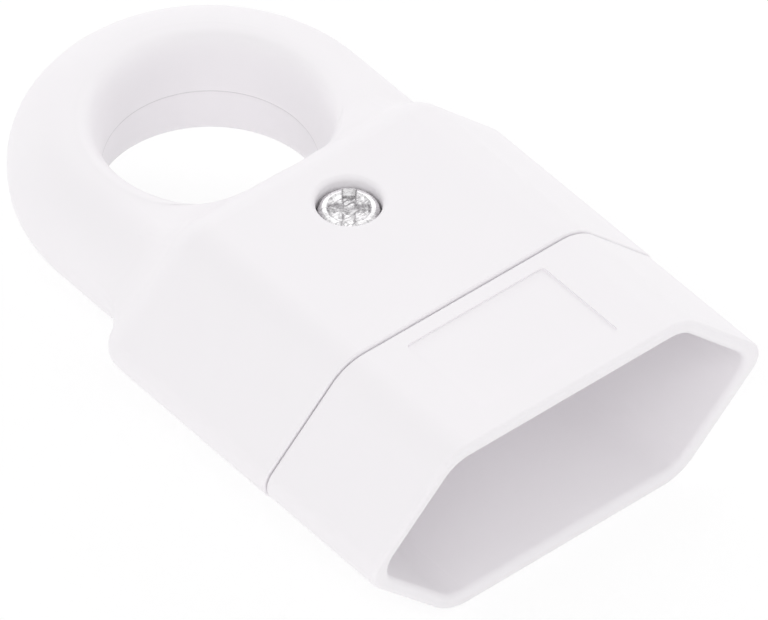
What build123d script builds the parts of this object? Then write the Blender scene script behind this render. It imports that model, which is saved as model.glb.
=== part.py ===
"""Portable two-pole power socket with a finger ring, in millimetres.

The mouth faces -Y, the ring lies towards +Y and the part rests on its level underside.
The origin is under the middle of the whole, on the surface that it rests on.
Places along the axis are counted from the mouth's rim, heights from mid-height.
"""
import math
import os

from build123d import *

os.makedirs("parts", exist_ok=True)

# Plug that the socket takes
pin_diameter = 4.0
pin_length = 19.0
pin_tip_room = 0.78
pin_spacing = 19.0

# Mouth and front body
mouth_height = 16.4
mouth_flat_margin = 7.0
mouth_corner_round = 3.6
mouth_tip_round = 2.0
recess_depth = 13.6
front_wall = 1.5
bevel_wall = 1.35
floor_thickness = 2.4
pin_hole_clearance = 0.3
pin_hole_lead_in = 0.5
rim_inner_round = 0.65
rim_outer_round = 0.4
seam_land = 1.2
seam_round = 0.2
seam_gap = 0.14
seam_gap_depth = 0.5

# Bare panel on top of the front body
panel_width = 15.7
panel_length = 10.15
panel_setback = 2.85
panel_depth = 0.2
panel_corner_round = 0.4

# Rear housing
housing_step = 0.1
housing_wall = 1.8
rear_wall = 1.6
rear_round = 3.4
outer_corner_round = 5.0
outer_tip_round = 2.1

# Finger ring
ring_hole_radius = 9.85
ring_hole_setback = 0.87
ring_bar = 8.2
ring_end_bar = 8.55
ring_height = 11.8
ring_inner_round = 1.0
ring_hole_draft = 12.5
ring_band = 0.6
ring_edge_flat = 0.4
ring_blend_round = 6.0
ring_root_land = 0.2

# Cover screw and the boss and post that it joins
cover_screw_radius = 1.5
cover_screw_length = 10.0
cover_head_radius = 2.8
cover_head_side = 1.9
cover_head_crown = 0.3
cover_head_round = 0.5
cover_head_sunk = 0.6
cover_slot_width = 1.15
cover_slot_depth = 0.9
cover_cross_width = 1.1
cover_cross_span = 3.8
cover_cross_depth = 1.5
cover_cross_taper = 15.0
cover_slot_angle = 49.5
counterbore_clearance = 0.2
counterbore_round = 0.5
shank_clearance = 0.1
boss_wall = 1.5
boss_floor = 1.5
post_radius = 3.0
post_gap = 0.1
thread_clearance = 0.02
pilot_run_out = 1.0

# Spigot and tray behind the floor
fit_clearance = 0.1
spigot_length = 3.5
insert_wall = 1.4
rail_wall = 1.2

# Contacts and terminals
contact_wall = 0.95
contact_bore_clearance = 0.05
contact_slit = 0.8
contact_slit_length = 6.5
contact_gap = 0.3
terminal_length = 7.0
terminal_width = 6.6
terminal_headroom = 1.0
wire_hole_radius = 1.3
wire_hole_cover = 0.45
terminal_screw_radius = 1.5
terminal_screw_proud = 0.4
terminal_slot_width = 0.6
terminal_slot_depth = 0.7

# Cord clamp and cord entry
cord_radius = 3.1
cord_entry_clearance = 0.3
clamp_width = 3.3
clamp_gap = 0.3
clamp_thickness = 1.3
clamp_bite = 0.3
clamp_seat_height = 0.8
clamp_lug = 2.6
clamp_screw_radius = 1.0
clamp_screw_length = 6.0
clamp_head_radius = 1.6
clamp_head_height = 1.3
clamp_slot_width = 0.5
clamp_slot_depth = 0.6

# Hexagons with 45 degree bevels: height, and reach from the middle to a sharp side tip
diagonal = math.sqrt(2)
mouth_reach = (pin_spacing + mouth_flat_margin + mouth_height) / 2
front_height = mouth_height + 2 * front_wall
front_reach = mouth_reach + diagonal * bevel_wall
shoulder_height = front_height - 2 * seam_gap_depth
shoulder_reach = front_reach - diagonal * seam_gap_depth
shoulder_corner_round = outer_corner_round - seam_gap_depth
shoulder_tip_round = outer_tip_round - seam_gap_depth
housing_height = front_height + 2 * housing_step
housing_reach = front_reach + diagonal * housing_step
cavity_height = housing_height - 2 * housing_wall
cavity_reach = housing_reach - diagonal * housing_wall
cavity_corner_round = outer_corner_round - housing_wall
insert_height = cavity_height - 2 * fit_clearance
insert_reach = cavity_reach - diagonal * fit_clearance
insert_corner_round = cavity_corner_round - fit_clearance
tray_height = insert_height - 2 * insert_wall
tray_reach = insert_reach - diagonal * insert_wall
tray_corner_round = insert_corner_round - insert_wall
mid_height = housing_height / 2

# Places along the axis
seam = recess_depth + seam_land
floor_back = recess_depth + floor_thickness
spigot_end = seam + spigot_length
contact_front = spigot_end + contact_gap
terminal_middle = contact_front + terminal_length / 2
contact_end = recess_depth + pin_length + pin_tip_room
clamp_front = contact_end + fit_clearance
cover_screw_place = clamp_front - clamp_gap - post_radius
clamp_middle = clamp_front + clamp_width / 2
tray_end = clamp_front + clamp_width
cavity_end = tray_end + clamp_gap
housing_end = cavity_end + rear_wall
ring_root = cavity_end + rear_wall / 2
ring_centre = housing_end + ring_hole_setback + ring_hole_radius
ring_half_width = ring_hole_radius + ring_bar
ring_hole_mouth = ring_hole_radius + (mid_height - ring_band / 2) * math.tan(math.radians(ring_hole_draft))
overall_length = ring_centre + ring_hole_radius + ring_end_bar
ring_arc_centre = overall_length - ring_half_width
mouth = -overall_length / 2

# Heights and places across the axis
contact_place = pin_spacing / 2
contact_bore = pin_diameter / 2 + contact_bore_clearance
contact_radius = contact_bore + contact_wall
rail_width = terminal_width + 2 * (fit_clearance + rail_wall)
tray_floor = -tray_height / 2
counterbore_depth = cover_head_sunk + cover_head_crown + cover_head_side
counterbore_radius = cover_head_radius + counterbore_clearance
counterbore_floor = mid_height - counterbore_depth
cover_head_edge = counterbore_floor + cover_head_side
cover_head_top = cover_head_edge + cover_head_crown
boss_radius = counterbore_radius + boss_wall
boss_bottom = counterbore_floor - boss_floor
post_top = boss_bottom - post_gap
cover_screw_tip = counterbore_floor - cover_screw_length
terminal_top = cavity_height / 2 - terminal_headroom
wire_hole_place = contact_bore + wire_hole_cover + wire_hole_radius
terminal_screw_top = terminal_top + terminal_screw_proud
terminal_screw_length = terminal_screw_top - wire_hole_place
clamp_arch = cord_radius - clamp_bite
clamp_screw_place = cord_radius + clamp_thickness + clamp_head_radius + clamp_gap
clamp_half_span = clamp_screw_place + clamp_lug
clamp_top = clamp_seat_height + clamp_thickness


def facing_mouth(place):
    """Plane across the axis at a place from the mouth, with X across and Y up from mid-height."""
    return Plane(origin=(0, mouth + place, mid_height), x_dir=(1, 0, 0), z_dir=(0, -1, 0))


def level(height):
    """Level plane at a height from mid-height, with Y counted from the mouth."""
    return Plane(origin=(0, mouth, mid_height + height))


def hexagon(height, reach, corner_round, tip_round=0):
    """Flattened hexagon with 45 degree bevels and rounded corners, its side tips sharp or rounded."""
    half = height / 2
    flat = reach - half
    with BuildSketch() as section:
        with BuildLine():
            Polyline(
                (flat, half), (reach, 0), (flat, -half),
                (-flat, -half), (-reach, 0), (-flat, half), close=True,
            )
        make_face()
        corners = section.vertices().group_by(Axis.Y)[0] + section.vertices().group_by(Axis.Y)[-1]
        fillet(corners, corner_round)
        if tip_round:
            tips = section.vertices().sort_by(Axis.X)
            fillet([tips[0], tips[-1]], tip_round)
    return section.sketch


# Front body: hexagonal mouth, floor, spigot and the tray that carries the contacts
with BuildPart() as front_body:
    with BuildSketch(facing_mouth(0)):
        add(hexagon(front_height, front_reach, outer_corner_round, outer_tip_round))
    extrude(amount=seam_gap - seam)
    fillet(front_body.faces().sort_by(Axis.Y)[-1].edges(), seam_round)
    # Set-back shoulder that the rear housing stops against, which leaves a fine groove at the seam
    with BuildSketch(facing_mouth(seam - seam_gap)):
        add(hexagon(shoulder_height, shoulder_reach, shoulder_corner_round, shoulder_tip_round))
    extrude(amount=-seam_gap)
    with BuildSketch(facing_mouth(seam)):
        add(hexagon(insert_height, insert_reach, insert_corner_round, insert_corner_round))
    extrude(amount=seam - tray_end)
    # Everything above the tray's edge is open behind the spigot
    with BuildSketch(facing_mouth(spigot_end)):
        with Locations((0, clamp_seat_height)):
            Rectangle(2 * insert_reach, insert_height, align=(Align.CENTER, Align.MIN))
    extrude(amount=spigot_end - tray_end, mode=Mode.SUBTRACT)
    # The hollow leaves a rail under each contact, then a seat under the cord clamp
    with BuildSketch(facing_mouth(floor_back)):
        add(hexagon(tray_height, tray_reach, tray_corner_round))
        with Locations((-contact_place, 0), (contact_place, 0)):
            Rectangle(rail_width, tray_height, align=(Align.CENTER, Align.MAX), mode=Mode.SUBTRACT)
    extrude(amount=floor_back - clamp_front, mode=Mode.SUBTRACT)
    with BuildSketch(facing_mouth(clamp_front)):
        add(hexagon(tray_height, tray_reach, tray_corner_round))
        with Locations((0, clamp_seat_height)):
            Rectangle(2 * clamp_half_span, tray_height, align=(Align.CENTER, Align.MAX), mode=Mode.SUBTRACT)
    extrude(amount=clamp_front - tray_end, mode=Mode.SUBTRACT)
    # Troughs and pockets that the contacts lie in
    with BuildSketch(facing_mouth(floor_back)):
        with Locations((-contact_place, 0), (contact_place, 0)):
            Circle(contact_radius + fit_clearance)
    extrude(amount=floor_back - clamp_front, mode=Mode.SUBTRACT)
    with BuildSketch(level(-contact_radius - fit_clearance)):
        with Locations((-contact_place, terminal_middle), (contact_place, terminal_middle)):
            Rectangle(terminal_width + 2 * fit_clearance, terminal_length + 2 * fit_clearance)
    extrude(amount=contact_radius + fit_clearance, mode=Mode.SUBTRACT)
    # Post for the cover screw, with its pilot hole
    with BuildSketch(level(tray_floor)):
        with Locations((0, cover_screw_place)):
            Circle(post_radius)
    extrude(amount=post_top - tray_floor)
    with BuildSketch(level(post_top)):
        with Locations((0, cover_screw_place)):
            Circle(cover_screw_radius + thread_clearance)
    extrude(amount=cover_screw_tip - pilot_run_out - post_top, mode=Mode.SUBTRACT)
    # Groove for the cord and pilot holes for the clamp's screws
    with BuildSketch(facing_mouth(clamp_front)):
        Circle(cord_radius)
    extrude(amount=clamp_front - tray_end, mode=Mode.SUBTRACT)
    with BuildSketch(level(clamp_seat_height)):
        with Locations((-clamp_screw_place, clamp_middle), (clamp_screw_place, clamp_middle)):
            Circle(clamp_screw_radius + thread_clearance)
    extrude(amount=-clamp_screw_length, mode=Mode.SUBTRACT)
    # Mouth, with the plug's pin holes in its floor
    with BuildSketch(facing_mouth(0)):
        add(hexagon(mouth_height, mouth_reach, mouth_corner_round, mouth_tip_round))
    extrude(amount=-recess_depth, mode=Mode.SUBTRACT)
    rim = front_body.faces().sort_by(Axis.Y)[0]
    fillet(rim.outer_wire().edges(), min(rim_outer_round, bevel_wall / 3))
    rim = front_body.faces().sort_by(Axis.Y)[0]
    fillet(rim.inner_wires()[0].edges(), min(rim_inner_round, bevel_wall / 2))
    with BuildSketch(facing_mouth(recess_depth)):
        with Locations((-contact_place, 0), (contact_place, 0)):
            Circle(pin_diameter / 2 + pin_hole_clearance)
    extrude(amount=-floor_thickness, mode=Mode.SUBTRACT)
    pin_holes = front_body.edges().filter_by(GeomType.CIRCLE).filter_by_position(
        Axis.Y, mouth + recess_depth - fit_clearance, mouth + recess_depth + fit_clearance
    )
    chamfer(pin_holes, pin_hole_lead_in)
    # Shallow panel on the level top
    with BuildSketch(level(front_height / 2)):
        with Locations((0, panel_setback + panel_length / 2)):
            RectangleRounded(panel_width, panel_length, panel_corner_round)
    extrude(amount=-panel_depth, mode=Mode.SUBTRACT)
front_body.part.label = "front_body"
export_step(front_body.part, "parts/front_body.step")

# Finger ring before its hole is cut: a flat plate with a full round outside
with BuildPart() as finger_ring:
    with BuildSketch(level(0)):
        with BuildLine():
            Polyline(
                (-ring_half_width, ring_arc_centre), (-ring_half_width, ring_root),
                (ring_half_width, ring_root), (ring_half_width, ring_arc_centre),
            )
            ThreePointArc(
                (ring_half_width, ring_arc_centre), (0, overall_length), (-ring_half_width, ring_arc_centre)
            )
        make_face()
    extrude(amount=ring_height / 2, both=True)
    rims = finger_ring.edges().filter_by(lambda e: abs(e.center().Z - mid_height) > ring_height / 4)
    fillet(rims.sort_by(Axis.Y)[2:], (ring_height - ring_edge_flat) / 2)

# Rear housing: hexagonal cover with a soft rear end, moulded in one with the finger ring
with BuildPart() as rear_housing:
    with BuildSketch(facing_mouth(seam)):
        add(hexagon(housing_height, housing_reach, outer_corner_round))
    extrude(amount=seam - housing_end)
    rear_room = (housing_reach - ring_half_width - ring_root_land) / diagonal
    fillet(rear_housing.faces().sort_by(Axis.Y)[-1].edges(), min(rear_round, rear_room))
    side_tips = rear_housing.edges().filter_by(
        lambda e: abs(e.center().Z - mid_height) < seam_round and e.length > outer_tip_round
    )
    fillet(side_tips, outer_tip_round)
    fillet(rear_housing.faces().sort_by(Axis.Y)[0].edges(), seam_round)
    add(finger_ring.part)
    fillet(rear_housing.edges(Select.NEW), ring_blend_round)
    # The ring's hole widens from a short straight band at mid-height towards both faces
    with BuildSketch(facing_mouth(ring_centre)):
        with BuildLine():
            Polyline(
                (0, mid_height), (ring_hole_mouth, mid_height), (ring_hole_radius, ring_band / 2),
                (ring_hole_radius, -ring_band / 2), (ring_hole_mouth, -mid_height), (0, -mid_height),
                close=True,
            )
        make_face()
    revolve(axis=Axis((0, mouth + ring_centre, 0), (0, 0, 1)), mode=Mode.SUBTRACT)
    hole_rims = rear_housing.edges(Select.NEW).filter_by(
        lambda e: abs(e.center().Z - mid_height) > ring_height / 4 and e.geom_type != GeomType.LINE
    )
    fillet(hole_rims, ring_inner_round)
    with BuildSketch(facing_mouth(seam)):
        add(hexagon(cavity_height, cavity_reach, cavity_corner_round))
    extrude(amount=seam - cavity_end, mode=Mode.SUBTRACT)
    # Boss under the counterbore of the cover screw
    with BuildSketch(level(boss_bottom)):
        with Locations((0, cover_screw_place)):
            Circle(boss_radius)
    extrude(amount=counterbore_floor - boss_bottom)
    with BuildSketch(level(counterbore_floor)):
        with Locations((0, cover_screw_place)):
            Circle(boss_radius)
    extrude(amount=cavity_height / 2 - counterbore_floor)
    with Locations(level(mid_height) * Location((0, cover_screw_place, 0))):
        CounterBoreHole(
            cover_screw_radius + shank_clearance, counterbore_radius,
            counterbore_depth, counterbore_depth + boss_floor,
        )
    counterbore_rim = rear_housing.edges().filter_by(GeomType.CIRCLE).group_by(Axis.Z)[-1]
    fillet(counterbore_rim, counterbore_round)
    # Cord entry through the rear wall into the ring's hole
    with BuildSketch(facing_mouth(cavity_end)):
        Circle(cord_radius + cord_entry_clearance)
    extrude(amount=cavity_end - ring_centre, mode=Mode.SUBTRACT)
rear_housing.part.label = "rear_housing"
export_step(rear_housing.part, "parts/rear_housing.step")

# Cover screw: plated pan head with a slot and a cross, its shank in the front body's post
with BuildPart() as cover_screw:
    with BuildSketch(facing_mouth(cover_screw_place)) as half_section:
        with BuildLine():
            crown = TangentArc((0, cover_head_top), (cover_head_radius, cover_head_edge), tangent=(1, 0))
            Polyline(
                crown @ 1, (cover_head_radius, counterbore_floor), (cover_screw_radius, counterbore_floor),
                (cover_screw_radius, cover_screw_tip), (0, cover_screw_tip), crown @ 0,
            )
        make_face()
        fillet(half_section.vertices().group_by(Axis.X)[-1].sort_by(Axis.Y)[-1], cover_head_round)
    revolve(axis=Axis((0, mouth + cover_screw_place, 0), (0, 0, 1)))
    with BuildSketch(level(cover_head_top)):
        with Locations((0, cover_screw_place)):
            Rectangle(3 * cover_head_radius, cover_slot_width, rotation=cover_slot_angle)
    extrude(amount=-cover_slot_depth, mode=Mode.SUBTRACT)
    # Cross with walls that lean in towards its point
    with BuildSketch(level(cover_head_top)):
        with Locations((0, cover_screw_place)):
            Rectangle(cover_cross_span, cover_cross_width, rotation=cover_slot_angle)
            Rectangle(cover_cross_width, cover_cross_span, rotation=cover_slot_angle)
    extrude(amount=-cover_cross_depth, taper=cover_cross_taper, mode=Mode.SUBTRACT)
cover_screw.part.label = "cover_screw"
export_step(cover_screw.part, "parts/cover_screw.step")

# Contacts: brass sleeves, split to grip a pin, each with a terminal block for one wire
for name, side in (("contact_left", -contact_place), ("contact_right", contact_place)):
    with BuildPart() as contact:
        with BuildSketch(facing_mouth(contact_front)):
            with Locations((side, 0)):
                Circle(contact_radius)
        extrude(amount=contact_front - contact_end)
        with BuildSketch(facing_mouth(contact_front)):
            with Locations((side, -contact_radius)):
                Rectangle(terminal_width, terminal_top + contact_radius, align=(Align.CENTER, Align.MIN))
        extrude(amount=-terminal_length)
        # Bore for the pin, and the slit that parts the sleeve into two springs
        with BuildSketch(facing_mouth(contact_front)):
            with Locations((side, 0)):
                Circle(contact_bore)
        extrude(amount=contact_front - contact_end, mode=Mode.SUBTRACT)
        with BuildSketch(facing_mouth(contact_end)):
            with Locations((side, 0)):
                Rectangle(contact_slit, 3 * contact_radius)
        extrude(amount=contact_slit_length, mode=Mode.SUBTRACT)
        # Wire hole across the block, and the threaded hole that meets it from above
        across = Plane(origin=(side, mouth + terminal_middle, mid_height), x_dir=(0, 1, 0), z_dir=(1, 0, 0))
        with BuildSketch(across):
            with Locations((0, wire_hole_place)):
                Circle(wire_hole_radius)
        extrude(amount=terminal_width, both=True, mode=Mode.SUBTRACT)
        with BuildSketch(level(terminal_top)):
            with Locations((side, terminal_middle)):
                Circle(terminal_screw_radius + thread_clearance)
        extrude(amount=wire_hole_place - terminal_top, mode=Mode.SUBTRACT)
    contact.part.label = name
    export_step(contact.part, f"parts/{name}.step")

# Terminal screws: one slotted screw in each block, its tip in the wire hole
with BuildPart() as terminal_screws:
    with BuildSketch(level(terminal_screw_top)):
        with Locations((-contact_place, terminal_middle), (contact_place, terminal_middle)):
            Circle(terminal_screw_radius)
    extrude(amount=-terminal_screw_length)
    with BuildSketch(level(terminal_screw_top)):
        with Locations((-contact_place, terminal_middle), (contact_place, terminal_middle)):
            Rectangle(3 * terminal_screw_radius, terminal_slot_width)
    extrude(amount=-terminal_slot_depth, mode=Mode.SUBTRACT)
terminal_screws.part.label = "terminal_screws"
export_step(terminal_screws.part, "parts/terminal_screws.step")

# Cord clamp: an arched strap that lies across the cord on the tray's seat
with BuildPart() as cord_clamp:
    with BuildSketch(facing_mouth(clamp_front)):
        Circle(clamp_arch + clamp_thickness)
        with Locations((0, clamp_seat_height)):
            Rectangle(2 * clamp_half_span, clamp_thickness, align=(Align.CENTER, Align.MIN))
        Circle(clamp_arch, mode=Mode.SUBTRACT)
        with Locations((0, clamp_seat_height)):
            Rectangle(4 * cord_radius, 4 * cord_radius, align=(Align.CENTER, Align.MAX), mode=Mode.SUBTRACT)
    extrude(amount=-clamp_width)
    with BuildSketch(level(clamp_top)):
        with Locations((-clamp_screw_place, clamp_middle), (clamp_screw_place, clamp_middle)):
            Circle(clamp_screw_radius + shank_clearance)
    extrude(amount=-clamp_thickness, mode=Mode.SUBTRACT)
cord_clamp.part.label = "cord_clamp"
export_step(cord_clamp.part, "parts/cord_clamp.step")

# Cord clamp screws: two slotted cheese heads that draw the strap down on the seat
with BuildPart() as cord_clamp_screws:
    with BuildSketch(level(clamp_top)):
        with Locations((-clamp_screw_place, clamp_middle), (clamp_screw_place, clamp_middle)):
            Circle(clamp_head_radius)
    extrude(amount=clamp_head_height)
    with BuildSketch(level(clamp_top)):
        with Locations((-clamp_screw_place, clamp_middle), (clamp_screw_place, clamp_middle)):
            Circle(clamp_screw_radius)
    extrude(amount=-clamp_screw_length)
    with BuildSketch(level(clamp_top + clamp_head_height)):
        with Locations((-clamp_screw_place, clamp_middle), (clamp_screw_place, clamp_middle)):
            Rectangle(3 * clamp_head_radius, clamp_slot_width)
    extrude(amount=-clamp_slot_depth, mode=Mode.SUBTRACT)
cord_clamp_screws.part.label = "cord_clamp_screws"
export_step(cord_clamp_screws.part, "parts/cord_clamp_screws.step")
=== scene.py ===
"""Looks of the portable power socket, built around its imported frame, in metres.

The sections follow the socket as it is put together: contacts, small screws, front body, cord clamp,
rear housing with its finger ring, and cover screw. The floor, the light and the camera come last.
"""
import math

import bpy
from mathutils import Matrix, Vector


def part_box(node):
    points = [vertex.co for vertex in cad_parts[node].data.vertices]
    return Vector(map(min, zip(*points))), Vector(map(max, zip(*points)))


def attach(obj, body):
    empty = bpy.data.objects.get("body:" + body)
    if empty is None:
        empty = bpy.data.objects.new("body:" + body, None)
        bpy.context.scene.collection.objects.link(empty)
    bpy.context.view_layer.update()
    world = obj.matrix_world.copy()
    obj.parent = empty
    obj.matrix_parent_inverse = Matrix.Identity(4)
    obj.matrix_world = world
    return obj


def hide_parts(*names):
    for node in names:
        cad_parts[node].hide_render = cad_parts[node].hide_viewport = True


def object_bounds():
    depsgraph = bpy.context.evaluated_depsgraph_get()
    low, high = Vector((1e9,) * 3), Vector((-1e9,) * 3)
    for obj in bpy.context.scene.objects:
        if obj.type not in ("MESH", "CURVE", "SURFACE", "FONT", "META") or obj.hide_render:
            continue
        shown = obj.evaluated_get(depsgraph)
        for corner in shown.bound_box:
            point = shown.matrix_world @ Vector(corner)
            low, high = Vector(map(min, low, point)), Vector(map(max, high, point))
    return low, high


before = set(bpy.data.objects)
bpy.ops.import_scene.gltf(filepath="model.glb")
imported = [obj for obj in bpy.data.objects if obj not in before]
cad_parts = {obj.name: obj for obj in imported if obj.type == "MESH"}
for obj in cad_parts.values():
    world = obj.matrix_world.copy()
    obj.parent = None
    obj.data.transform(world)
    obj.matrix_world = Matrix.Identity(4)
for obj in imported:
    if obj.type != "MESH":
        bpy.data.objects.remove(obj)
cad_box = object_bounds()

# Contacts: two brass sleeves, turned from rod, each with a milled block for one wire.
# They lie on the rails of the front body's tray and are split so that they grip a plug's pin.
MM = 0.001
brass_bright = (0.83, 0.62, 0.29)
brass_dull = (0.66, 0.45, 0.19)
turning_pitch = 0.09 * MM
turning_depth = 0.01 * MM


class Wire:
    """An output of a shader node. Arithmetic on it adds Math nodes, and make() adds any other node."""

    def __init__(self, tree, node=None, output=0):
        self.tree = tree
        self.node = node
        self.output = output

    def __getitem__(self, output):
        return Wire(self.tree, self.node, output)

    def make(self, kind, settings=(), **sockets):
        """Adds a node: settings first, then sockets, with _ for a space and a list for like names."""
        node = self.tree.nodes.new(kind)
        for name, value in dict(settings).items():
            setattr(node, name, value)
        for name, values in sockets.items():
            named = [s for s in node.inputs if s.enabled and s.name == name.replace("_", " ")]
            for socket, value in zip(named, values if isinstance(values, list) else [values]):
                if isinstance(value, Wire):
                    self.tree.links.new(value.node.outputs[value.output], socket)
                elif socket.type == "RGBA":
                    socket.default_value = (*value, 1.0)
                else:
                    socket.default_value = value
        return Wire(self.tree, node)

    def maths(self, operation, *values):
        return self.make("ShaderNodeMath", {"operation": operation}, Value=list(values))

    def __add__(self, other):
        return self.maths("ADD", self, other)

    __radd__ = __add__

    def __sub__(self, other):
        return self.maths("SUBTRACT", self, other)

    def __rsub__(self, other):
        return self.maths("SUBTRACT", other, self)

    def __mul__(self, other):
        return self.maths("MULTIPLY", self, other)

    __rmul__ = __mul__

    def __lt__(self, other):
        return self.maths("LESS_THAN", self, other)


def mix_colours(share, first, second):
    """The first colour where a share is 0 and the second where it is 1."""
    return share.make("ShaderNodeMix", {"data_type": "RGBA"}, Factor=share, A=first, B=second)[2]


def new_material(name):
    """A material with an empty node tree, and a Wire that adds nodes to it."""
    material = bpy.data.materials.new(name)
    material.use_nodes = True
    material.node_tree.nodes.clear()
    return material, Wire(material.node_tree)


def dress(node_name, material):
    """Gives a node of the frame its material."""
    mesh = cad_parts[node_name].data
    mesh.materials.clear()
    mesh.materials.append(material)


brass, wire = new_material("turned_brass")
place = wire.make("ShaderNodeTexCoord")["Object"]
patina = wire.make("ShaderNodeTexNoise", Vector=place, Scale=0.35 / MM, Detail=4.0, Roughness=0.6)
along = wire.make("ShaderNodeSeparateXYZ", Vector=place)["Y"]
tooling = wire.maths("SINE", along * (2 * math.pi / turning_pitch))
tooled = wire.make("ShaderNodeBump", Strength=0.25, Distance=turning_depth, Height=tooling)
shader = wire.make(
    "ShaderNodeBsdfPrincipled", Base_Color=mix_colours(patina, brass_bright, brass_dull), Metallic=1.0,
    Roughness=0.22 + 0.16 * patina, Normal=tooled,
)
wire.make("ShaderNodeOutputMaterial", Surface=shader)
for contact in ("contact_left", "contact_right"):
    dress(contact, brass)

# Terminal screws and clamp screws: small slotted screws of plated steel.
# They draw a wire down in each terminal block, and the clamp down on the cord.
plate_bright = (0.80, 0.79, 0.77)
plate_dark = (0.62, 0.61, 0.60)
grain_depth = 0.01 * MM

plated, wire = new_material("plated_steel")
place = wire.make("ShaderNodeTexCoord")["Object"]
cloud = wire.make("ShaderNodeTexNoise", Vector=place, Scale=0.8 / MM, Detail=5.0, Roughness=0.65)
grain = wire.make("ShaderNodeTexNoise", Vector=place, Scale=9.0 / MM, Detail=3.0)
grained = wire.make("ShaderNodeBump", Strength=0.15, Distance=grain_depth, Height=grain)
shader = wire.make(
    "ShaderNodeBsdfPrincipled", Base_Color=mix_colours(cloud, plate_bright, plate_dark), Metallic=1.0,
    Roughness=0.14 + 0.16 * cloud, Normal=grained,
)
wire.make("ShaderNodeOutputMaterial", Surface=shader)
for screws in ("terminal_screws", "cord_clamp_screws"):
    dress(screws, plated)

# Front body: one white moulding with the hexagonal mouth, its floor and the contacts' tray.
# Satin gloss from a polished mould, with the faint waviness that shrinkage leaves.
# The rear housing is of the same plastic. Inside its ring a thin grey line is painted on the parting
# line, as painted shade of the seam.
white = (0.930, 0.907, 0.930)
white_shade = (0.918, 0.895, 0.919)
wave_depth = 0.06 * MM
skin_depth = 0.01 * MM
# Grey of the painted shade along the parting line inside the hole, with its half-width and reach
parting_shade_grey = (0.74, 0.72, 0.74)
parting_half = 0.055 * MM
parting_reach = 10.4 * MM
ring_outside = 18.4 * MM
housing_low, housing_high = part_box("rear_housing")
parting_height = (housing_low.z + housing_high.z) / 2
ring_middle = housing_high.y - ring_outside

plastic, wire = new_material("white_plastic")
place = wire.make("ShaderNodeTexCoord")["Object"]
flow = wire.make("ShaderNodeTexNoise", Vector=place, Scale=0.12 / MM, Detail=3.0, Roughness=0.5)
skin = wire.make("ShaderNodeTexNoise", Vector=place, Scale=4.0 / MM, Detail=2.0)
sink = wire.make("ShaderNodeTexNoise", Vector=place, Scale=0.25 / MM, Detail=2.0)
spot = wire.make("ShaderNodeSeparateXYZ", Vector=place)
from_middle = spot["Y"] - ring_middle
ring_radius = wire.maths("SQRT", spot["X"] * spot["X"] + from_middle * from_middle)
# Mask of the painted shade: a thin band at the parting line's height, inside the hole
on_parting_shade = wire.maths("ABSOLUTE", spot["Z"] - parting_height) < parting_half
in_hole = ring_radius < parting_reach
plastic_colour = mix_colours(on_parting_shade * in_hole, mix_colours(flow, white, white_shade), parting_shade_grey)
waves = wire.make("ShaderNodeBump", Strength=0.20, Distance=wave_depth, Height=sink)
satin = wire.make("ShaderNodeBump", Strength=0.08, Distance=skin_depth, Height=skin, Normal=waves)
shader = wire.make(
    "ShaderNodeBsdfPrincipled", Base_Color=plastic_colour, Roughness=0.42 + 0.08 * flow,
    IOR=1.49, Specular_IOR_Level=0.4, Normal=satin,
)
wire.make("ShaderNodeOutputMaterial", Surface=shader)
dress("front_body", plastic)

# Cord clamp: a small moulded strap that arches over the cord's jacket, held by two screws.
# It is off-white, with a duller skin than the shells.
strap_white = (0.78, 0.77, 0.74)
strap_shade = (0.72, 0.71, 0.68)
spark_depth = 0.01 * MM

strap, wire = new_material("clamp_plastic")
place = wire.make("ShaderNodeTexCoord")["Object"]
spark = wire.make("ShaderNodeTexNoise", Vector=place, Scale=5.0 / MM, Detail=3.0)
eroded = wire.make("ShaderNodeBump", Strength=0.4, Distance=spark_depth, Height=spark)
shader = wire.make(
    "ShaderNodeBsdfPrincipled", Base_Color=mix_colours(spark, strap_white, strap_shade),
    Roughness=0.55 + 0.1 * spark, Normal=eroded,
)
wire.make("ShaderNodeOutputMaterial", Surface=shader)
dress("cord_clamp", strap)

# Rear housing: the white cover that slides over the tray, moulded in one with the finger ring.
# The ring's hole has a full, round lip, which fades out at the roots. Two mould halves meet at
# mid-height, and leave a fine ridge inside the hole.
hole_radius = 9.85 * MM
bore_half = 0.30 * MM
wall_slope = math.tan(math.radians(12.5))
lip_proud = 0.02 * MM
lip_reach = 2.35 * MM
lip_half = 5.915 * MM
lip_power = 2.75
lip_edge = 12.20 * MM
lip_steps = 40
sunk_depth = 0.10 * MM
# Depth in from the hole's wall, and height from the parting line
ridge = [(0.065 * MM, 0.03 * MM), (0.050 * MM, 0.06 * MM), (0.030 * MM, 0.12 * MM)]
# Degrees round the hole, counted from its far side
lip_end, turn_step = 152, 2
fade_from, fade_to = 112, 140

dress("rear_housing", plastic)


def eased(share):
    """A share held between 0 and 1, with a gentle start and end."""
    share = min(max(share, 0.0), 1.0)
    return share * share * (3 - 2 * share)


def add_mesh(name, corners, faces, material):
    """A new object in the scene, of one mesh and one material."""
    mesh = bpy.data.meshes.new(name)
    mesh.from_pydata(corners, [], faces)
    mesh.materials.append(material)
    piece = bpy.data.objects.new(name, mesh)
    bpy.context.scene.collection.objects.link(piece)
    return piece


upper = [(hole_radius - depth, rise) for depth, rise in ridge]
for step in range(1, lip_steps):
    angle = step / lip_steps * math.pi / 2
    radius = hole_radius - lip_proud + lip_reach * (1 - math.cos(angle) ** (2 / lip_power))
    rise = lip_half * math.sin(angle) ** (2 / lip_power)
    if rise > bore_half:
        upper.append((radius, rise))
upper.append((lip_edge, lip_half))
section = [(radius, -rise) for radius, rise in reversed(upper)] + upper
rows = len(section)

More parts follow.
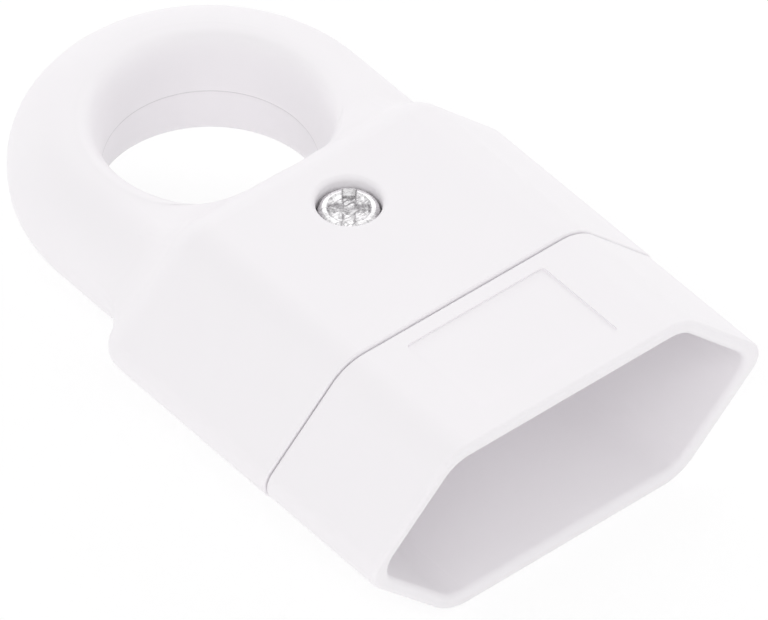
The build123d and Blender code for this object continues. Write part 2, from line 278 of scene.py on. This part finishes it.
corners, faces = [], []
for from_far in range(-lip_end, lip_end + 1, turn_step):
    turn = math.pi / 2 + math.radians(from_far)
    share = eased((fade_to - abs(from_far)) / (fade_to - fade_from))
    for radius, rise in section:
        sunk = hole_radius + max(abs(rise) - bore_half, 0.0) * wall_slope + sunk_depth
        reach = radius * share + sunk * (1 - share)
        y = ring_middle + reach * math.sin(turn)
        corners.append((reach * math.cos(turn), y, parting_height + rise))
for first in range(0, len(corners) - rows, rows):
    for row in range(first, first + rows - 1):
        faces.append((row, row + 1, row + rows + 1, row + rows))
lip = add_mesh("ring_lip", corners, faces, plastic)
lip.data.shade_smooth()
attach(lip, "root")

# Cover screw: one plated pan-head screw that holds the two mouldings together.
# Its wide recess, a slot with a cross, is pressed in, and the driver has worn the edges soft.
# The recess and the head's near half are painted in darker grey blotches, as painted shade and dark
# reflection.
screw_place = Vector((0.0, -3.72)) * MM
screw_columns = 240
head_top = 19.0 * MM
head_bottom = 16.80 * MM
head_radius = 2.80 * MM
crown_drop = 0.30 * MM
top_rings, top_step = 48, 0.05 * MM
shank_radius = 1.50 * MM
shank_bottom = 6.85 * MM
tip_radius = 1.10 * MM
thread_pitch = 0.50 * MM
thread_depth = 0.12 * MM
thread_crest = 0.05 * MM
thread_root = 0.30 * MM
# Radius and height of each corner of the head's side, from the top down
head_side = [
    (2.55 * MM, 18.66 * MM), (2.68 * MM, 18.58 * MM), (2.76 * MM, 18.45 * MM), (head_radius, 18.25 * MM),
    (head_radius, 16.82 * MM), (shank_radius, head_bottom),
]

# Slot, the wear at its near end, cross, dish and dents: their depths, half-widths and soft edges
slot_turn = math.radians(49.5)
slot_depth, slot_half, slot_edge = 0.80 * MM, 0.60 * MM, 0.16 * MM
worn_length, worn_depth, worn_edge = 4.0 * MM, 0.40 * MM, 0.50 * MM
cross_depth, cross_half, cross_edge = 1.20 * MM, 0.55 * MM, 0.18 * MM
cross_reach, cross_end, cross_slope = 1.85 * MM, 0.30 * MM, 0.35
dish_depth, dish_radius, dish_edge, dish_slope = 0.26 * MM, 1.95 * MM, 0.35 * MM, 0.05
recess_radius, recess_edge = 2.0 * MM, 0.1 * MM
recess_level = 18.62 * MM
dent_depth, scratch_depth, dent_edge = 0.045 * MM, 0.025 * MM, 0.5 * MM
# Waves of the dents and scratches along the slot (u) and across it (v), of lengths that never agree
dent_u, dent_v = 4.3 / MM, 5.1 / MM
shift_u, shift_v = 1.1, 0.4
scratch_u, scratch_v = 9.7 / MM, 7.9 / MM

# Plain plating on the rim, and the pale and dark greys of the painted shade in the recess and on the near
# half
rim_bright = (0.92, 0.91, 0.92)
recess_shade_pale = (0.90, 0.89, 0.90)
recess_shade_dark = (0.50, 0.49, 0.50)
# Along the slot, where the painted shade over the head's near half starts and where it is full
near_shade_from, near_shade_to = 0.5 * MM, -0.3 * MM
scuff_depth = 0.06 * MM


def inside(distance, half, edge):
    """1 within a half-width, 0 beyond it, with a soft edge between."""
    return eased((half + edge / 2 - abs(distance)) / edge)


def head_height(radius, turn):
    """Height of the head's worn top: a low crown, less its slot, cross or pressed dish, with dents."""
    u, v = radius * math.cos(turn), radius * math.sin(turn)
    worn = min(max(0.5 - u / worn_length, 0.0), 1.0)
    slot = (slot_depth - worn_depth * worn) * inside(v, slot_half, slot_edge + worn_edge * worn)
    cross = (cross_depth - cross_slope * abs(v)) * inside(u, cross_half, cross_edge)
    cross *= inside(v, cross_reach, cross_end)
    dish = (dish_depth - dish_slope * radius) * inside(radius, dish_radius, dish_edge)
    dents = dent_depth * math.sin(dent_u * u + shift_u) * math.sin(dent_v * v + shift_v)
    dents += scratch_depth * math.sin(scratch_u * u + scratch_v * v)
    crown = head_top - crown_drop * (radius / head_radius) ** 2
    return crown - max(slot, cross, dish) + dents * inside(radius, recess_radius, dent_edge)


worn_plate_painted_shade, wire = new_material("worn_plate_painted_shade")
place = wire.make("ShaderNodeTexCoord")["Object"]
spot = wire.make("ShaderNodeSeparateXYZ", Vector=place)
across, along = spot["X"] - screw_place.x, spot["Y"] - screw_place.y
screw_radius = wire.maths("SQRT", across * across + along * along)
dished = wire.make(
    "ShaderNodeMapRange", Value=screw_radius, From_Min=recess_radius + recess_edge, From_Max=recess_radius
)
lengthwise = across * math.cos(slot_turn) + along * math.sin(slot_turn)
near_half_shade = wire.make("ShaderNodeMapRange", Value=lengthwise, From_Min=near_shade_from, From_Max=near_shade_to)
# Mask of the painted shade: the recess, the head's near half, and everything below the recess level
painted_recess_shade = wire.maths("MAXIMUM", wire.maths("MAXIMUM", dished, near_half_shade), spot["Z"] < recess_level)
cloud = wire.make(
    "ShaderNodeTexNoise", Vector=place, Scale=1.5 / MM, Detail=4.0, Roughness=0.6, Distortion=1.2
)
blotch = wire.make("ShaderNodeMapRange", Value=cloud, From_Min=0.40, From_Max=0.60)
steel_colour = mix_colours(painted_recess_shade, rim_bright, mix_colours(blotch, recess_shade_dark, recess_shade_pale))
scuffs = wire.make("ShaderNodeBump", Strength=0.6, Distance=scuff_depth, Height=cloud)
shader = wire.make(
    "ShaderNodeBsdfPrincipled", Base_Color=steel_colour, Metallic=1.0,
    Roughness=0.20 + 0.15 * blotch, Normal=scuffs,
)
wire.make("ShaderNodeOutputMaterial", Surface=shader)

# Rings of corners from the head's middle down to the tip. None stands for the worn top's own height.
rings = [(step * top_step, None) for step in range(1, top_rings + 1)] + head_side
crest = head_bottom
while crest - thread_pitch > shank_bottom:
    rings.append((shank_radius, crest - thread_crest))
    rings.append((shank_radius - thread_depth, crest - thread_root))
    rings.append((shank_radius, crest - thread_pitch))
    crest -= thread_pitch
rings.append((tip_radius, shank_bottom))

corners, faces = [(*screw_place, head_height(0.0, 0.0))], []
for radius, rise in rings:
    for column in range(screw_columns):
        turn = 2 * math.pi * column / screw_columns
        x = screw_place.x + radius * math.cos(turn + slot_turn)
        y = screw_place.y + radius * math.sin(turn + slot_turn)
        corners.append((x, y, head_height(radius, turn) if rise is None else rise))
tip = len(corners)
corners.append((*screw_place, shank_bottom))
last_ring = tip - screw_columns
for column in range(screw_columns):
    after = (column + 1) % screw_columns
    faces.append((0, 1 + column, 1 + after))
    for ring in range(1, last_ring, screw_columns):
        below = ring + screw_columns
        faces.append((ring + column, below + column, below + after, ring + after))
    faces.append((last_ring + column, tip, last_ring + after))
screw = add_mesh("cover_screw_worn", corners, faces, worn_plate_painted_shade)
screw.data.shade_smooth()
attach(screw, "root")
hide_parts("cover_screw")

# Floor: a milky light table that the socket lies on.
# Seen directly it is white, and it keeps a pale shadow under the socket.
backdrop_glow = 0.75
table_light = 0.16
floor_white = (0.92, 0.92, 0.92)
floor_half = 2.0
floor_drop = 0.02 * MM


def is_seen(wire):
    """1 for what the camera, a mirror or glass sees, and 0 for light that falls on the socket."""
    ray = wire.make("ShaderNodeLightPath")
    mirrored = wire.maths("MAXIMUM", ray["Is Glossy Ray"], ray["Is Transmission Ray"])
    return wire.maths("MAXIMUM", ray["Is Camera Ray"], mirrored)


sweep, wire = new_material("white_sweep")
seen = is_seen(wire)
lit = wire.make("ShaderNodeBsdfDiffuse", Color=floor_white)
glow = wire.make("ShaderNodeEmission", Color=(1.0, 1.0, 1.0), Strength=1.0)
faint = wire.make("ShaderNodeEmission", Color=(1.0, 1.0, 1.0), Strength=table_light)
table = wire.make("ShaderNodeAddShader", Shader=[lit, faint])
mixed = wire.make("ShaderNodeMixShader", Fac=seen * backdrop_glow, Shader=[table, glow])
wire.make("ShaderNodeOutputMaterial", Surface=mixed)

corners = [(x * floor_half, y * floor_half, -floor_drop) for x, y in ((-1, -1), (1, -1), (1, 1), (-1, 1))]
floor = add_mesh("floor", corners, [(0, 1, 2, 3)], sweep)

# Light: a white room and six wide soft boxes round the table, of which only the far one shows in gloss.
# The main ones stand at the left and in front, and those behind and at the right fill the shadows.
room_light = 0.56
box_distance = 0.7

world = bpy.data.worlds.new("white_room")
world.use_nodes = True
world.node_tree.nodes.clear()
wire = Wire(world.node_tree)
seen = is_seen(wire)
room = wire.make(
    "ShaderNodeBackground", Color=(1.0, 1.0, 1.0), Strength=seen * (1 - room_light) + room_light
)
wire.make("ShaderNodeOutputWorld", Surface=room)
bpy.context.scene.world = world

middle = (cad_box[0] + cad_box[1]) / 2
for name, azimuth, elevation, width, height, watts in (
    ("left_box", -70, 45, 0.70, 0.50, 1.16),
    ("front_box", -20, 45, 0.70, 0.50, 0.70),
    ("right_box", 75, 20, 0.70, 0.35, 0.48),
    ("far_right_box", 105, 30, 0.60, 0.40, 0.70),
    ("far_box", 139.5, 44, 0.50, 0.40, 0.40),
    ("back_box", 180, 15, 0.90, 0.35, 1.12),
):
    lamp = bpy.data.lights.new(name, "AREA")
    lamp.shape = "RECTANGLE"
    lamp.size = width
    lamp.size_y = height
    lamp.energy = watts
    box = bpy.data.objects.new(name, lamp)
    around, up = math.radians(azimuth), math.radians(elevation)
    outward = Vector((math.sin(around) * math.cos(up), -math.cos(around) * math.cos(up), math.sin(up)))
    box.location = middle + outward * box_distance
    box.rotation_euler = outward.to_track_quat("Z", "Y").to_euler()
    box.visible_glossy = name == "far_box"
    bpy.context.scene.collection.objects.link(box)

# Camera: a long lens that looks down on the mouth from the front left, as in the photograph.
# It stands about a metre away, so the socket's sides look nearly parallel.
camera_azimuth = math.radians(-40.542)
camera_elevation = math.radians(44.047)
camera_roll = math.radians(0.882)
camera_distance = 1.09103
camera_lens = 577.84
camera_aim = Vector((0.07, -8.61, 9.80)) * MM

sight = bpy.data.cameras.new("camera")
sight.lens = camera_lens
sight.sensor_width = 36.0
sight.clip_start = 0.01
camera = bpy.data.objects.new("camera", sight)
turn = Matrix.Rotation(camera_azimuth, 4, "Z")
tilt = Matrix.Rotation(math.pi / 2 - camera_elevation, 4, "X")
roll = Matrix.Rotation(camera_roll, 4, "Z")
camera.matrix_world = (
    Matrix.Translation(camera_aim) @ turn @ tilt @ roll @ Matrix.Translation((0, 0, camera_distance))
)
bpy.context.scene.collection.objects.link(camera)
bpy.context.scene.camera = camera
bpy.context.scene.view_settings.view_transform = "Standard"
